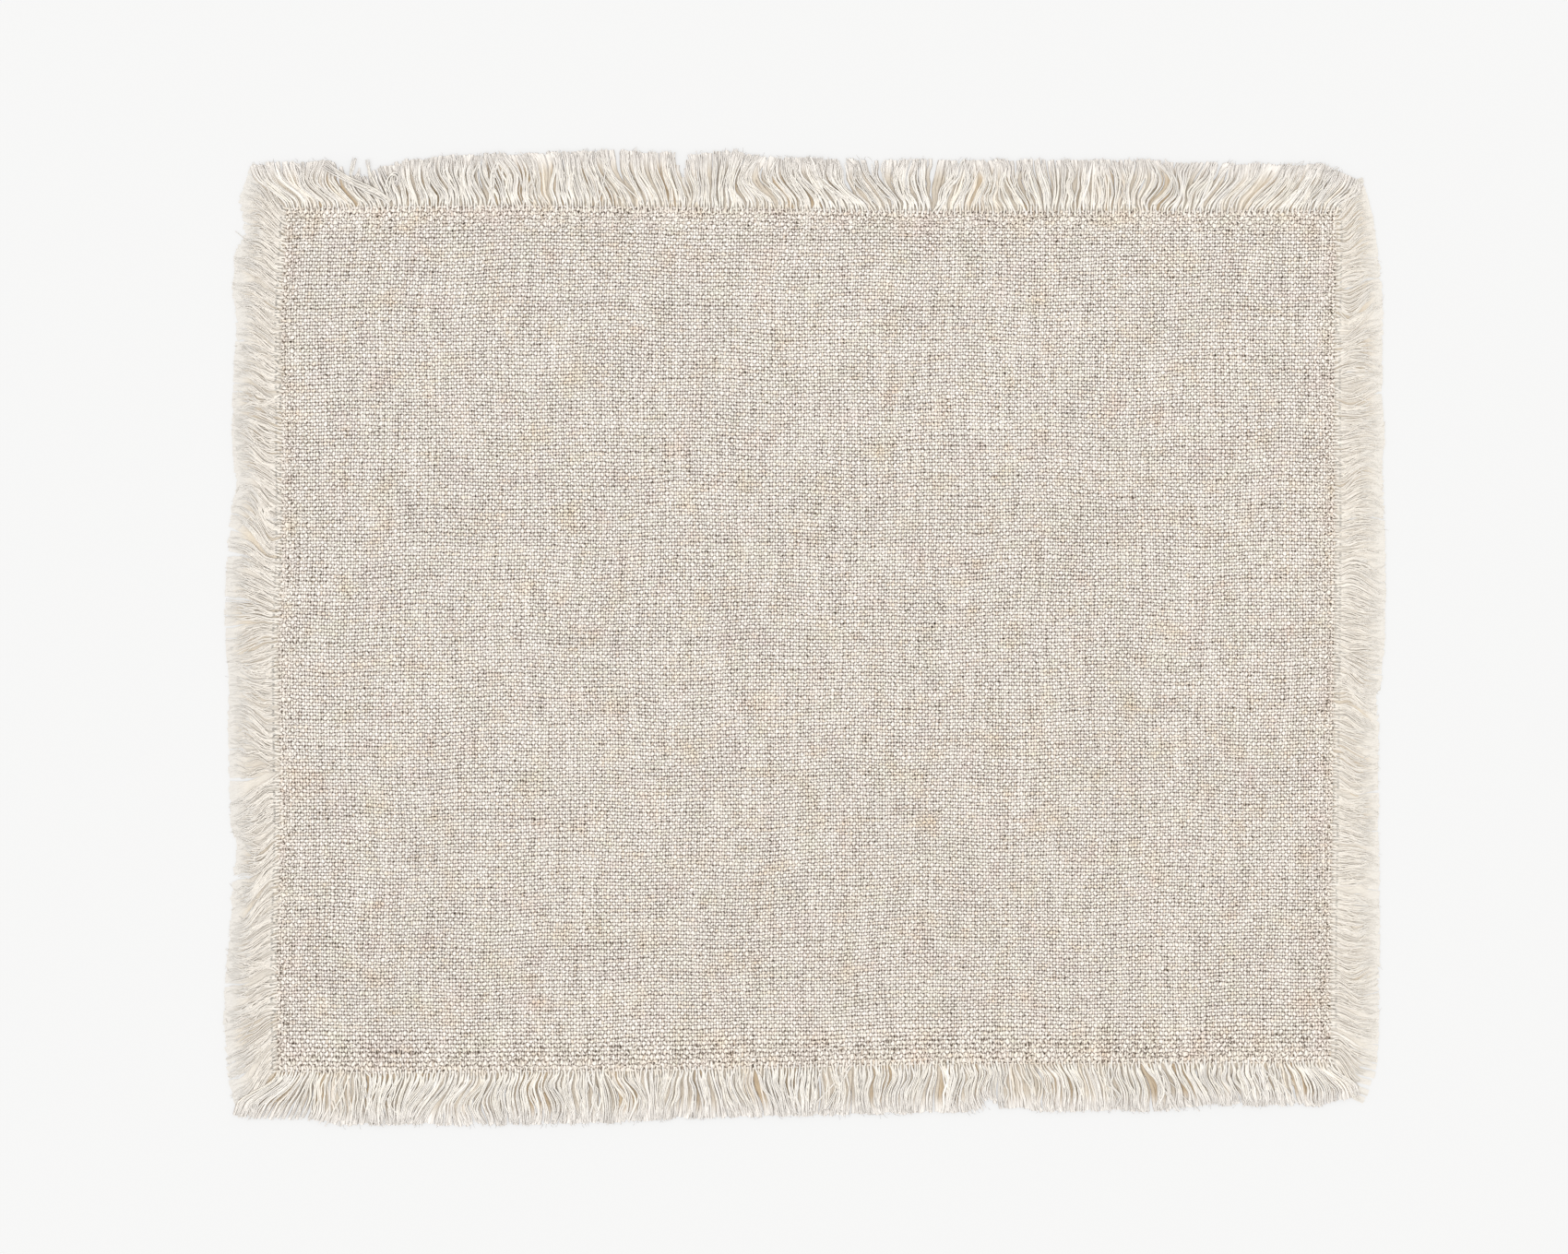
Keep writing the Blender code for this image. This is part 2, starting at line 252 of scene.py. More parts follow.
def setUpStudio():
    distance = view["width"] * view["lens"] / view["sensor"]
    place = (view["centreX"] * mm, view["centreY"] * mm, distance * mm)
    bpy.ops.object.camera_add(location=place, rotation=(0, 0, 0))
    camera = bpy.context.active_object
    camera.name = "camera"
    camera.data.lens = view["lens"]
    camera.data.sensor_width = view["sensor"]
    camera.data.clip_start, camera.data.clip_end = 0.01, 20
    bpy.context.scene.camera = camera

    turn = (math.radians(light["sunTilt"]), 0, math.radians(light["sunTurn"]))
    bpy.ops.object.light_add(type="SUN", location=(0, 0, 1), rotation=turn)
    sun = bpy.context.active_object
    sun.name = "soft_key"
    sun.data.energy = light["sun"]
    sun.data.angle = math.radians(light["sunAngle"])

    world = bpy.data.worlds.new("studio")
    world.use_nodes = True
    sky = world.node_tree.nodes["Background"]
    sky.inputs["Color"].default_value = light["worldColour"]
    sky.inputs["Strength"].default_value = light["world"]
    bpy.context.scene.world = world
    bpy.context.scene.view_settings.view_transform = "Standard"

    bpy.ops.mesh.primitive_plane_add(size=6, location=(0, 0, -light["floorBelow"] * mm))
    floor = bpy.context.active_object
    floor.name = "table_top"
    graph = Graph("pale_table")
    graph.shader.inputs["Base Color"].default_value = (*[light["floorColour"]] * 3, 1.0)
    graph.shader.inputs["Emission Color"].default_value = (1.0, 1.0, 0.995, 1.0)
    graph.shader.inputs["Emission Strength"].default_value = light["floorGlow"]
    graph.shader.inputs["Roughness"].default_value = 0.9
    graph.shader.inputs["Specular IOR Level"].default_value = 0.1
    floor.data.materials.append(graph.material)
    print("camera, light and floor are set")


setUpStudio()

# the woven field

field = {
    "width": 415.0, "height": 339.0,  # between the woven edges, on average
    "warps": 386, "wefts": 255,  # threads counted along the long side and along the short side
    "top": 1.46,  # the face's height
    "weftRise": 0.26,  # how far a weft stands above the warps beside it
    "slubRise": 0.08, "uneven": 0.05,  # how far thick stretches and single crossings stand out
    "wander": 0.16, "stray": 0.05,  # how far a thread, and one crossing, strays sideways
    "bend": 0.55, "bendFade": 22.0,  # how far all threads bend together, and the calm rim
    "bendShareX": 0.5, "bendShareY": 0.6,
    # the waves they bend in: lengths along x and y, where a wave starts, and its share
    "wavesX": [(27.0, 14.0, 1.3, 1.0), (9.5, -17.0, 0.4, 0.7)],
    "wavesY": [(19.0, 38.0, 2.1, 1.0), (7.5, -25.0, 4.0, 0.7)],
    # thickness and tone along a yarn: share, crossings from knot to knot, and what a whole yarn shares
    "warpSlub": [(0.4, 9), (0.4, 2), (0.6, 1)],
    "weftSlub": [(0.4, 8), (0.4, 2), (0.6, 1)],
    "warpTone": [(0.3, 4), (0.5, 14), (0.5, 45, 0.15)],
    "weftTone": [(0.2, 5), (0.3, 18), (0.3, 60, 1.1)],
    "paleFrom": 1.1, "warpPale": 1.8, "weftPale": 1.2,  # here and there a thick pale stretch
    "paleStepWarp": 20, "paleStepWeft": 24, "wanderStep": 12, "hueStep": 4,
    "nearRowStretch": 0.38, "nearRows": 11,  # the last rows lie further apart
    "farRowStretch": 0.30, "farRows": 4, "rimThreads": 9,
    "crease": 75.0,  # edges flatter than this are shaded smooth
    "seed": 3,
}


def alongYarns(rng, yarns, crossings, step):
    # a smooth random number at each crossing, unlike from yarn to yarn
    knots = rng.normal(size=(yarns, crossings // step + 3))
    places = np.arange(crossings) / step + rng.uniform(0, 1, size=(yarns, 1))
    low = np.floor(places).astype(int)
    share = places - low
    share = share * share * (3 - 2 * share)
    rows = np.arange(yarns)[:, None]
    return knots[rows, low] * (1 - share) + knots[rows, low + 1] * share


def weftPlaces():
    # where each weft lies between 0 and 1 of the woven height
    gaps = np.ones(field["wefts"] - 1)
    gaps[:field["nearRows"]] += field["nearRowStretch"] * np.linspace(1, 0, field["nearRows"]) ** 0.5
    gaps[-field["farRows"]:] += field["farRowStretch"] * np.linspace(0, 1, field["farRows"])
    places = np.concatenate([[0], np.cumsum(gaps)])
    return places / places[-1]


def onField(across, up):
    # the mat's x and y at shares of its woven width and height, round its bowed edges
    ends = {name: (side["edge"][0][0], side["edge"][-1][0]) for name, side in sides.items()}
    bottomX = ends["bottom"][0] + across * (ends["bottom"][1] - ends["bottom"][0])
    topX = ends["top"][0] + across * (ends["top"][1] - ends["top"][0])
    leftY = ends["left"][0] + up * (ends["left"][1] - ends["left"][0])
    rightY = ends["right"][0] + up * (ends["right"][1] - ends["right"][0])
    bottomY, topY = edgeOut(sides["bottom"], bottomX), edgeOut(sides["top"], topX)
    leftX, rightX = edgeOut(sides["left"], leftY), edgeOut(sides["right"], rightY)
    x = bottomX * (1 - up) + topX * up + leftX * (1 - across) + rightX * across
    y = bottomY * (1 - up) + topY * up + leftY * (1 - across) + rightY * across
    # a blend of four sides counts the corners twice
    corner = [(ends["bottom"][0], ends["left"][0]), (ends["bottom"][1], ends["right"][0]),
              (ends["top"][0], ends["left"][1]), (ends["top"][1], ends["right"][1])]
    shares = [(1 - across) * (1 - up), across * (1 - up), (1 - across) * up, across * up]
    x -= sum(c[0] * share for c, share in zip(corner, shares))
    y -= sum(c[1] * share for c, share in zip(corner, shares))
    return x, y


def bendIn(waves, x, y):
    return sum(share * np.sin(x / lengthX + y / lengthY + start)
               for lengthX, lengthY, start, share in waves)


def setNumbers(mesh, name, numbers):
    attribute = mesh.attributes.new(name, "FLOAT_VECTOR", "POINT")
    attribute.data.foreach_set("vector", np.stack(numbers, 1).astype(np.float32).ravel())


def weaveField():
    rng = np.random.default_rng(field["seed"])
    warps, wefts = field["warps"], field["wefts"]
    bpy.ops.mesh.primitive_grid_add(x_subdivisions=warps - 1, y_subdivisions=wefts - 1, size=2)
    cloth = bpy.context.active_object
    cloth.name = cloth.data.name = "woven_field"
    mesh = cloth.data
    count = len(mesh.vertices)
    flat = np.empty(count * 3, np.float32)
    mesh.vertices.foreach_get("co", flat)
    flat = flat.reshape(-1, 3)
    warp = np.rint((flat[:, 0] + 1) / 2 * (warps - 1)).astype(int)
    weft = np.rint((flat[:, 1] + 1) / 2 * (wefts - 1)).astype(int)

    def warpWise(step, whole=0.0):
        # a number that changes along each warp, and how much of it the whole warp shares
        numbers = alongYarns(rng, warps, wefts, step) + whole * rng.normal(size=(warps, 1))
        return numbers[warp, weft]

    def weftWise(step, whole=0.0):
        numbers = alongYarns(rng, wefts, warps, step) + whole * rng.normal(size=(wefts, 1))
        return numbers[weft, warp]

    def mixed(wise, parts):
        return sum(share * wise(*steps) for share, *steps in parts)

    warpSlub = mixed(warpWise, field["warpSlub"])
    weftSlub = mixed(weftWise, field["weftSlub"])
    crossing = rng.normal(size=(warps, wefts))[warp, weft]
    across, up = warp / (warps - 1), weftPlaces()[weft]
    x, y = onField(across, up)
    inside = (warp > 0) & (warp < warps - 1) & (weft > 0) & (weft < wefts - 1)
    fromSides = np.minimum(across, 1 - across) * field["width"]
    fromEnds = np.minimum(up, 1 - up) * field["height"]
    bend = np.clip(np.minimum(fromSides, fromEnds) / field["bendFade"], 0, 1) * field["bend"]
    bendX, bendY = bendIn(field["wavesX"], x, y), bendIn(field["wavesY"], x, y)
    x, y = x + bend * field["bendShareX"] * bendX, y + bend * field["bendShareY"] * bendY
    step = field["wanderStep"]
    x += inside * (field["wander"] * warpWise(step) + field["stray"] * rng.normal(size=count))
    y += inside * (field["wander"] * weftWise(step) + field["stray"] * rng.normal(size=count))
    weftOver = (warp + weft) % 2 == 0
    z = field["top"] + field["weftRise"] * (weftOver - 0.5)
    z += field["slubRise"] * np.where(weftOver, weftSlub, warpSlub) * 0.5
    z += field["uneven"] * crossing
    mesh.vertices.foreach_set("co", (np.stack([x, y, z], 1) * mm).astype(np.float32).ravel())
    fromRim = np.minimum(np.minimum(warp, warps - 1 - warp), np.minimum(weft, wefts - 1 - weft))
    rim = np.clip(1 - fromRim / field["rimThreads"], 0, 1)
    setNumbers(mesh, "thread", (warp, weft, crossing))
    setNumbers(mesh, "place", (rim, across, up))
    warpTone = mixed(warpWise, field["warpTone"])
    weftTone = mixed(weftWise, field["weftTone"])
    warpTone += field["warpPale"] * np.clip(warpWise(field["paleStepWarp"]) - field["paleFrom"], 0, None)
    weftTone += field["weftPale"] * np.clip(weftWise(field["paleStepWeft"]) - field["paleFrom"], 0, None)
    setNumbers(mesh, "warpYarn", (warpSlub, warpTone, warpWise(field["hueStep"])))
    setNumbers(mesh, "weftYarn", (weftSlub, weftTone, weftWise(field["hueStep"])))

    # the rim goes down to the table, and one flat face closes the underside
    bpy.ops.object.mode_set(mode="EDIT")
    bpy.ops.mesh.select_mode(type="EDGE")
    bpy.ops.mesh.select_all(action="SELECT")
    bpy.ops.mesh.region_to_loop()
    bpy.ops.mesh.extrude_region_move(TRANSFORM_OT_translate={"value": (0, 0, -mm)})
    bpy.ops.object.mode_set(mode="OBJECT")
    places = np.empty(len(mesh.vertices) * 3, np.float32)
    mesh.vertices.foreach_get("co", places)
    places = places.reshape(-1, 3)
    places[count:, 2] = 0.0
    mesh.vertices.foreach_set("co", places.ravel())
    bpy.ops.object.mode_set(mode="EDIT")
    bpy.ops.mesh.edge_face_add()
    bpy.ops.mesh.select_all(action="SELECT")
    bpy.ops.mesh.normals_make_consistent(inside=False)
    bpy.ops.object.mode_set(mode="OBJECT")
    bpy.ops.object.shade_smooth_by_angle(angle=math.radians(field["crease"]))
    mesh.calc_loop_triangles()
    print("woven field:", len(mesh.loop_triangles), "triangles")
    return cloth


weave = {
    "waver": 0.45, "rimWaver": 0.45, "upWaver": 1.15,  # how far a thread strays between crossings, in cells
    "weftWidth": 0.485, "weftSlub": 0.022,  # half a yarn's width, as a share of a cell
    "warpWidth": 0.405, "warpSlub": 0.028,
    "weftBase": 0.66, "weftCrimp": 0.36,  # a yarn's height halfway down, and its rise and fall
    "warpBase": 0.53, "warpCrimp": 0.24,
    "crossing": 0.018, "fibre": 0.15, "toneStrength": 0.014, "cloudStrength": 0.06,
    "warpStreak": 7.5, "weftStreak": 2.0,
    "nearCornerDark": 0.012, "nearSideTan": 0.16, "rimTan": 0.40,
    "bumpStrength": 0.5, "bumpDepth": 0.0005,  # metres
    # noise steps from crossing to crossing; streakStep sets neighbouring yarns well apart
    "waverStep": 0.9, "fibreAlong": 1.3, "fibreAcross": 9.0, "fibreBump": 0.06,
    "streakStep": 7.37, "warpStreakStep": 0.07, "weftStreakStep": 0.05,
    "blushStep": (0.07, 0.09), "blushFull": 0.55, "cloudStep": (0.028, 0.034),
    "hueFrom": 0.2, "hueFull": 1.8, "hueMost": 0.9,
    # the ramp from a yarn's height to its colour is painted shade: near black in the gaps where yarns lie
    # low, cream on their crowns
    "stops": [(0.00, srgb(26, 20, 14)), (0.24, srgb(62, 51, 40)), (0.45, srgb(146, 135, 124)),
              (0.60, srgb(213, 204, 197)), (0.77, srgb(243, 237, 229)), (0.93, srgb(255, 250, 245))],
    "tan": srgb(252, 246, 238), "grey": srgb(248, 248, 249), "pink": srgb(252, 247, 247),
    "green": srgb(249, 250, 245),
}


def weaveMaterial():
    graph = Graph("coarse_plain_weave")
    warp, weft, crossing = graph.attribute("thread")
    warpSlub, warpTone, warpHue = graph.attribute("warpYarn")
    weftSlub, weftTone, weftHue = graph.attribute("weftYarn")
    # threads stray a little between one crossing and the next
    rim, across, up = graph.attribute("place")
    waver = rim * weave["rimWaver"] + weave["waver"]
    step = weave["waverStep"]
    strayX = graph.noise(graph.place(warp * step, weft * step, 2.0), 1.0, 1.0)
    strayY = graph.noise(graph.place(warp * step, weft * step, 31.0), 1.0, 1.0)
    atWarp, atWeft = warp + strayX * waver, weft + strayY * waver * weave["upWaver"]
    column, row = atWarp.calc("ROUND"), atWeft.calc("ROUND")
    besideWarp, besideWeft = atWarp - column, atWeft - row
    # 1 where the weft lies over the warp, and -1 where it dives under
    over = 1.0 - ((column + row) * 0.5).calc("FRACT") * 4.0
    weftUp = over * (besideWarp * math.pi).calc("COSINE")
    warpUp = -(over * (besideWeft * math.pi).calc("COSINE"))

    def crown(offset, halfWidth):
        # how far a round yarn bulges at a place beside its middle
        return (1.0 - (offset / halfWidth).calc("POWER", 2.0)).calc("MAXIMUM", 0.0).calc("SQRT")

    weftCrown = crown(besideWeft.calc("ABSOLUTE"), weftSlub * weave["weftSlub"] + weave["weftWidth"])
    warpCrown = crown(besideWarp.calc("ABSOLUTE"), warpSlub * weave["warpSlub"] + weave["warpWidth"])
    weftHeight = weftCrown * (weftUp * weave["weftCrimp"] + weave["weftBase"])
    warpHeight = warpCrown * (warpUp * weave["warpCrimp"] + weave["warpBase"])
    height = weftHeight.calc("MAXIMUM", warpHeight)
    isWeft = weftHeight.calc("GREATER_THAN", warpHeight)

    # fibres run along whichever yarn shows
    slow, fast = weave["fibreAlong"], weave["fibreAcross"]
    alongWeft = graph.noise(graph.place(warp * slow, weft * fast, 3.0), 1.0, 3.0, 0.6)
    alongWarp = graph.noise(graph.place(warp * fast, weft * slow, 7.0), 1.0, 3.0, 0.6)
    fibre = alongWarp + isWeft * (alongWeft - alongWarp)
    # each yarn keeps a tone of its own across its width, and changes it slowly along its length
    apart = weave["streakStep"]
    warpStreak = graph.noise(graph.place(column * apart, weft * weave["warpStreakStep"], 5.0), 1.0, 1.0)
    weftStreak = graph.noise(graph.place(warp * weave["weftStreakStep"], row * apart, 17.0), 1.0, 1.0)
    tone = warpTone + weftTone + warpStreak * weave["warpStreak"] + weftStreak * weave["weftStreak"]
    hue = warpHue + isWeft * (weftHue - warpHue)
    # painted shade: the ramp darkens the cloth the lower the yarn lies there, down into the gaps between
    # crossings; fibre, crossing and tone add the yarns' own colour on top
    lit = height + fibre * weave["fibre"] + crossing * weave["crossing"] + tone * weave["toneStrength"]
    colour = graph.add("ShaderNodeValToRGB", {"stops": weave["stops"]}, [lit.calc("MAXIMUM", 0.0)])

    # stretches of yarn are tan or greenish, and faint clouds of the cloth pink, green, tan or grey
    for turn, name in ((1.0, "tan"), (-1.0, "green")):
        share = graph.span(hue * turn, weave["hueFrom"], weave["hueFull"], 0.0, weave["hueMost"])
        colour = graph.blend(share, colour, graph.blend(1.0, colour, weave[name], "MULTIPLY"))
    for layer, names in ((9.0, ("pink", "green")), (23.0, ("tan", "grey"))):
        stepX, stepY = weave["blushStep"]
        blush = graph.noise(graph.place(warp * stepX, weft * stepY, layer), 1.0, 3.0, 0.6)
        for turn, name in zip((1.0, -1.0), names):
            share = graph.span(blush * turn, 0.0, weave["blushFull"])
            colour = graph.blend(share, colour, graph.blend(1.0, colour, weave[name], "MULTIPLY"))
    stepX, stepY = weave["cloudStep"]
    cloud = graph.noise(graph.place(warp * stepX, weft * stepY, 1.0), 1.0, 3.0, 0.6)
    colour = graph.shade(colour, cloud * weave["cloudStrength"] + 1.0)
    # the cloth is a little warmer to the right, near side and rim, and darker in the near left corner
    warmer = graph.span(across - up, -1.0, 1.0, 0.0, weave["nearSideTan"]) + rim * rim * weave["rimTan"]
    colour = graph.blend(warmer, colour, graph.blend(1.0, colour, weave["tan"], "MULTIPLY"))
    colour = graph.shade(colour, (across + up - 1.0) * weave["nearCornerDark"] + 1.0)
    relief = height + fibre * weave["fibreBump"]
    normal = graph.bump(relief, weave["bumpStrength"], weave["bumpDepth"])
    roughness = graph.span(height, 0.0, 1.0, 0.98, 0.86)
    return graph.finish(colour, roughness, normal, 0.12)


cloth = weaveField()
cloth.data.materials.append(weaveMaterial())

# yarns: a template tube is modelled once, arrayed, and each copy laid along its own path

yarn = {
    "crease": 85.0,  # edges flatter than this are shaded smooth
    "plyTwist": 0.45, "fibreAlong": 0.35, "fibreAcross": 9.5, "fibreRound": 4.0,
    "rootAt": 1.9, "rootReach": 0.8,  # where a strand turns under the outermost thread
    "bumpStrength": 0.6, "bumpDepth": 0.00015,  # metres
    "roughness": 0.92, "sheen": 0.15,
}


def layYarns(name, paths, radii, flatness, look, tubeSides=6):
    # paths is (yarns, rings, 3) in millimetres, radii (yarns, rings), look (yarns, 3) of numbers
    yarns, rings = paths.shape[:2]
    bpy.ops.object.select_all(action="DESELECT")
    bpy.ops.mesh.primitive_circle_add(vertices=tubeSides, radius=1, fill_type="NGON")
    tube = bpy.context.active_object
    tube.name = tube.data.name = name
    bpy.ops.object.mode_set(mode="EDIT")
    bpy.ops.mesh.select_all(action="SELECT")
    for _ in range(rings - 1):
        bpy.ops.mesh.extrude_region_move(TRANSFORM_OT_translate={"value": (0, 0, 1)})
    bpy.ops.mesh.select_all(action="SELECT")
    bpy.ops.mesh.normals_make_consistent(inside=False)
    bpy.ops.object.mode_set(mode="OBJECT")
    spacing = 4.0  # between the copies, before they are laid
    array = tube.modifiers.new("yarns", "ARRAY")
    array.count = yarns
    array.use_relative_offset = False
    array.use_constant_offset = True
    array.constant_offset_displace = (spacing, 0, 0)
    bpy.ops.object.modifier_apply(modifier=array.name)
    mesh = tube.data
    flat = np.empty(len(mesh.vertices) * 3, np.float32)
    mesh.vertices.foreach_get("co", flat)
    flat = flat.reshape(-1, 3).astype(float)
    copy = np.rint(flat[:, 0] / spacing).astype(int)
    ring = np.rint(flat[:, 2]).astype(int)
    aside, crest = flat[:, 0] - spacing * copy, flat[:, 1]

    along = np.gradient(paths, axis=1)
    along /= np.linalg.norm(along, axis=2, keepdims=True)
    level = np.stack([-along[..., 1], along[..., 0], np.zeros((yarns, rings))], 2)
    level /= np.linalg.norm(level, axis=2, keepdims=True)
    upward = np.cross(along, level)
    reach = radii[copy, ring][:, None]
    places = paths[copy, ring] + reach * aside[:, None] * level[copy, ring]
    places += reach * flatness * crest[:, None] * upward[copy, ring]
    mesh.vertices.foreach_set("co", (places * mm).astype(np.float32).ravel())

    steps = np.linalg.norm(np.diff(paths, axis=1), axis=2)
    length = np.concatenate([np.zeros((yarns, 1)), np.cumsum(steps, axis=1)], 1)
    whole = length / length[:, -1:]
    setNumbers(mesh, "lengthwise", (whole[copy, ring], length[copy, ring], radii[copy, ring]))
    setNumbers(mesh, "around", (aside, crest, crest * 0))
    setNumbers(mesh, "look", tuple(look[copy].T))
    bpy.ops.object.mode_set(mode="EDIT")
    bpy.ops.mesh.select_all(action="SELECT")
    bpy.ops.mesh.normals_make_consistent(inside=False)
    bpy.ops.object.mode_set(mode="OBJECT")
    bpy.ops.object.shade_smooth_by_angle(angle=math.radians(yarn["crease"]))
    return tube


def joinPieces(name, pieces):
    bpy.ops.object.select_all(action="DESELECT")
    for piece in pieces:
        piece.select_set(True)
    bpy.context.view_layer.objects.active = pieces[0]
    bpy.ops.object.join()
    pieces[0].name = pieces[0].data.name = name
    pieces[0].data.calc_loop_triangles()
    print(name + ":", len(pieces[0].data.loop_triangles), "triangles")
    return pieces[0]


# long sides: thick wavy warp ends in pairs and wisps; short sides: softer weft ends in a mat
longFringe = {
    "look": "long",
    "pitch": 1.7,  # from the outermost thread to the next
    "radius": 0.49, "flatness": 0.75, "rootRadius": 0.42,
    "lockEnds": ((1, 2, 3), (0.30, 0.55, 0.15)), "lockGather": (0.05, 0.50),
    "wispLocks": (4, 11), "wispGather": (0.0, 0.11), "wispLean": 3.5, "roundTips": 0.04,
    "sway": 1.4, "swayLength": 14, "lockCurve": 0.36, "ownCurve": 0.14,
    "lockLean": 2.2, "strays": 0.08, "strayLean": 15.0,
    "lift": 0.75, "strandTips": (0.90, 1.0), "tipRadius": 0.55, "taperFrom": 0.80, "tipsDown": 0.5,
    "thin": 1.65, "thinRadius": 0.235, "thinAside": 0.34, "thinTips": (0.84, 1.02), "hairs": 160,
    "bedRadius": 0.85, "bedFlatness": 0.40, "bedHeight": 0.38, "bedTips": (0.95, 0.99),
    "bedTaper": 0.15, "bedUneven": 0.10,
}
shortFringe = {
    "look": "short",
    "pitch": 1.1,
    "radius": 0.50, "flatness": 0.45, "rootRadius": 0.46,
    "lockEnds": ((1, 2, 3), (0.42, 0.42, 0.16)), "lockGather": (0.05, 0.40),
    "wispLocks": (5, 14), "wispGather": (0.0, 0.10), "wispLean": 4.0, "roundTips": 0.01,
    "sway": 1.5, "swayLength": 12, "lockCurve": 0.36, "ownCurve": 0.16,
    "lockLean": 2.0, "strays": 0.08, "strayLean": 15.0,
    "lift": 0.22, "strandTips": (0.74, 0.985), "tipRadius": 0.35, "taperFrom": 0.50, "tipsDown": 0.9,
    "thin": 3.6, "thinRadius": 0.20, "thinAside": 0.60, "thinTips": (0.60, 1.0), "hairs": 50,
    "bedRadius": 1.30, "bedFlatness": 0.20, "bedHeight": 0.34, "bedTips": (0.965, 1.0),
    "bedTaper": 0.0, "bedUneven": 0.05,
}

leftFringe = {**shortFringe, "look": "left", "lockGather": (0.15, 0.60), "lift": 0.40,
              "lockCurve": 0.46, "ownCurve": 0.24}
fringePlans = {"top": longFringe, "bottom": longFringe, "left": leftFringe, "right": shortFringe}

# bundles that lie across the others, each along points of (x, y, z)
looseBundles = [
    {"side": "top", "yarns": 9, "spread": 1.5, "endSpread": 2.4, "radius": 0.25, "wiggle": 0.30,
     "points": [(-163.5, 172.6, 1.2), (-165.0, 174.6, 1.8), (-169.5, 176.6, 2.1), (-175.0, 178.8, 2.1),
                (-180.3, 181.5, 2.0), (-185.5, 184.9, 1.7), (-189.2, 187.8, 1.0)]},
    {"side": "top", "yarns": 5, "spread": 0.5, "endSpread": 1.5, "radius": 0.24, "wiggle": 0.20,
     "points": [(-174.0, 177.5, 1.6), (-177.5, 180.3, 1.6), (-179.0, 183.0, 1.4), (-178.4, 186.4, 1.1),
                (-177.2, 190.0, 0.8)]},
    {"side": "top", "yarns": 5, "spread": 0.5, "endSpread": 1.2, "radius": 0.24, "wiggle": 0.20,
     "points": [(-166.0, 174.5, 1.2), (-168.4, 177.5, 1.5), (-170.6, 181.2, 1.4), (-172.0, 185.2, 1.1),
                (-172.5, 189.3, 0.8)]},
    {"side": "top", "yarns": 7, "spread": 1.3, "endSpread": 1.6, "radius": 0.22, "wiggle": 0.35,
     "points": [(-162.5, 173.5, 1.2), (-164.5, 178.5, 1.6), (-163.8, 183.0, 1.8), (-160.6, 184.2, 1.8),
                (-159.8, 181.4, 1.7), (-162.0, 179.0, 1.5)]},
    {"side": "left", "yarns": 7, "spread": 0.9, "endSpread": 1.3, "radius": 0.22, "wiggle": 0.20,
     "points": [(-206.6, 43.0, 0.9), (-210.5, 44.4, 1.3), (-213.3, 47.2, 1.3), (-214.9, 51.3, 1.2),
                (-214.3, 55.2, 1.1), (-215.0, 58.2, 0.7)]},
    {"side": "left", "yarns": 7, "spread": 1.5, "endSpread": 1.2, "radius": 0.20, "wiggle": 0.20,
     "points": [(-206.6, 51.0, 0.9), (-210.6, 51.9, 1.4), (-212.9, 50.4, 1.5), (-211.9, 47.9, 1.4),
                (-208.0, 47.2, 1.2)]},
]


def easeIn(value, low, high):
    share = np.clip((value - low) / (high - low), 0, 1)
    return share * share * (3 - 2 * share)


def smoothAlong(rng, where, spacing):
    # a smooth random number along a side
    knots = rng.normal(size=int(480 / spacing) + 4)
    return np.interp((where + 240) / spacing, np.arange(len(knots)), knots)


def groupUp(rng, count, sizes):
    # neighbours gathered into groups: the group of each
    groups = []
    while len(groups) < count:
        groups += [groups[-1] + 1 if groups else 0] * int(sizes(rng))
    return np.array(groups[:count])


def groupMeans(values, groups):
    return (np.bincount(groups, values) / np.bincount(groups))[groups]


def layLoose(rng, bundle):
    points = np.array(bundle["points"])
    lengths = np.concatenate([[0], np.cumsum(np.linalg.norm(np.diff(points, axis=0), axis=1))])
    share = np.linspace(0, 1, 14)
    # a smooth line through the points
    middle = np.stack([np.interp(share, lengths / lengths[-1], points[:, axis]) for axis in range(3)], 1)
    for _ in range(3):
        middle[1:-1] = (middle[:-2] + 2 * middle[1:-1] + middle[2:]) / 4
    run = np.gradient(middle, axis=0)
    across = np.stack([-run[:, 1], run[:, 0]], 1) / np.linalg.norm(run[:, :2], axis=1)[:, None]
    yarns = bundle["yarns"]
    offset = np.linspace(-0.5, 0.5, yarns)[:, None] + rng.normal(0, 0.07, (yarns, 1))
    offset = offset * (bundle["spread"] + (bundle["endSpread"] - bundle["spread"]) * share)
    offset += bundle["wiggle"] * np.sin(rng.uniform(1.0, 2.4, (yarns, 1)) * math.tau * share
                                        + rng.uniform(0, math.tau, (yarns, 1)))
    paths = np.repeat(middle[None], yarns, 0)
    paths[..., :2] += offset[..., None] * across
    paths[..., 2] += rng.uniform(-0.18, 0.18, (yarns, 1))
    radii = bundle["radius"] * rng.uniform(0.8, 1.2, (yarns, 1)) * (1 - 0.5 * easeIn(share, 0.85, 1.0))
    look = np.stack([rng.normal(size=yarns), np.ones(yarns), rng.uniform(size=yarns)], 1)
    return layYarns("loose", paths, radii, 0.9, look, 5)


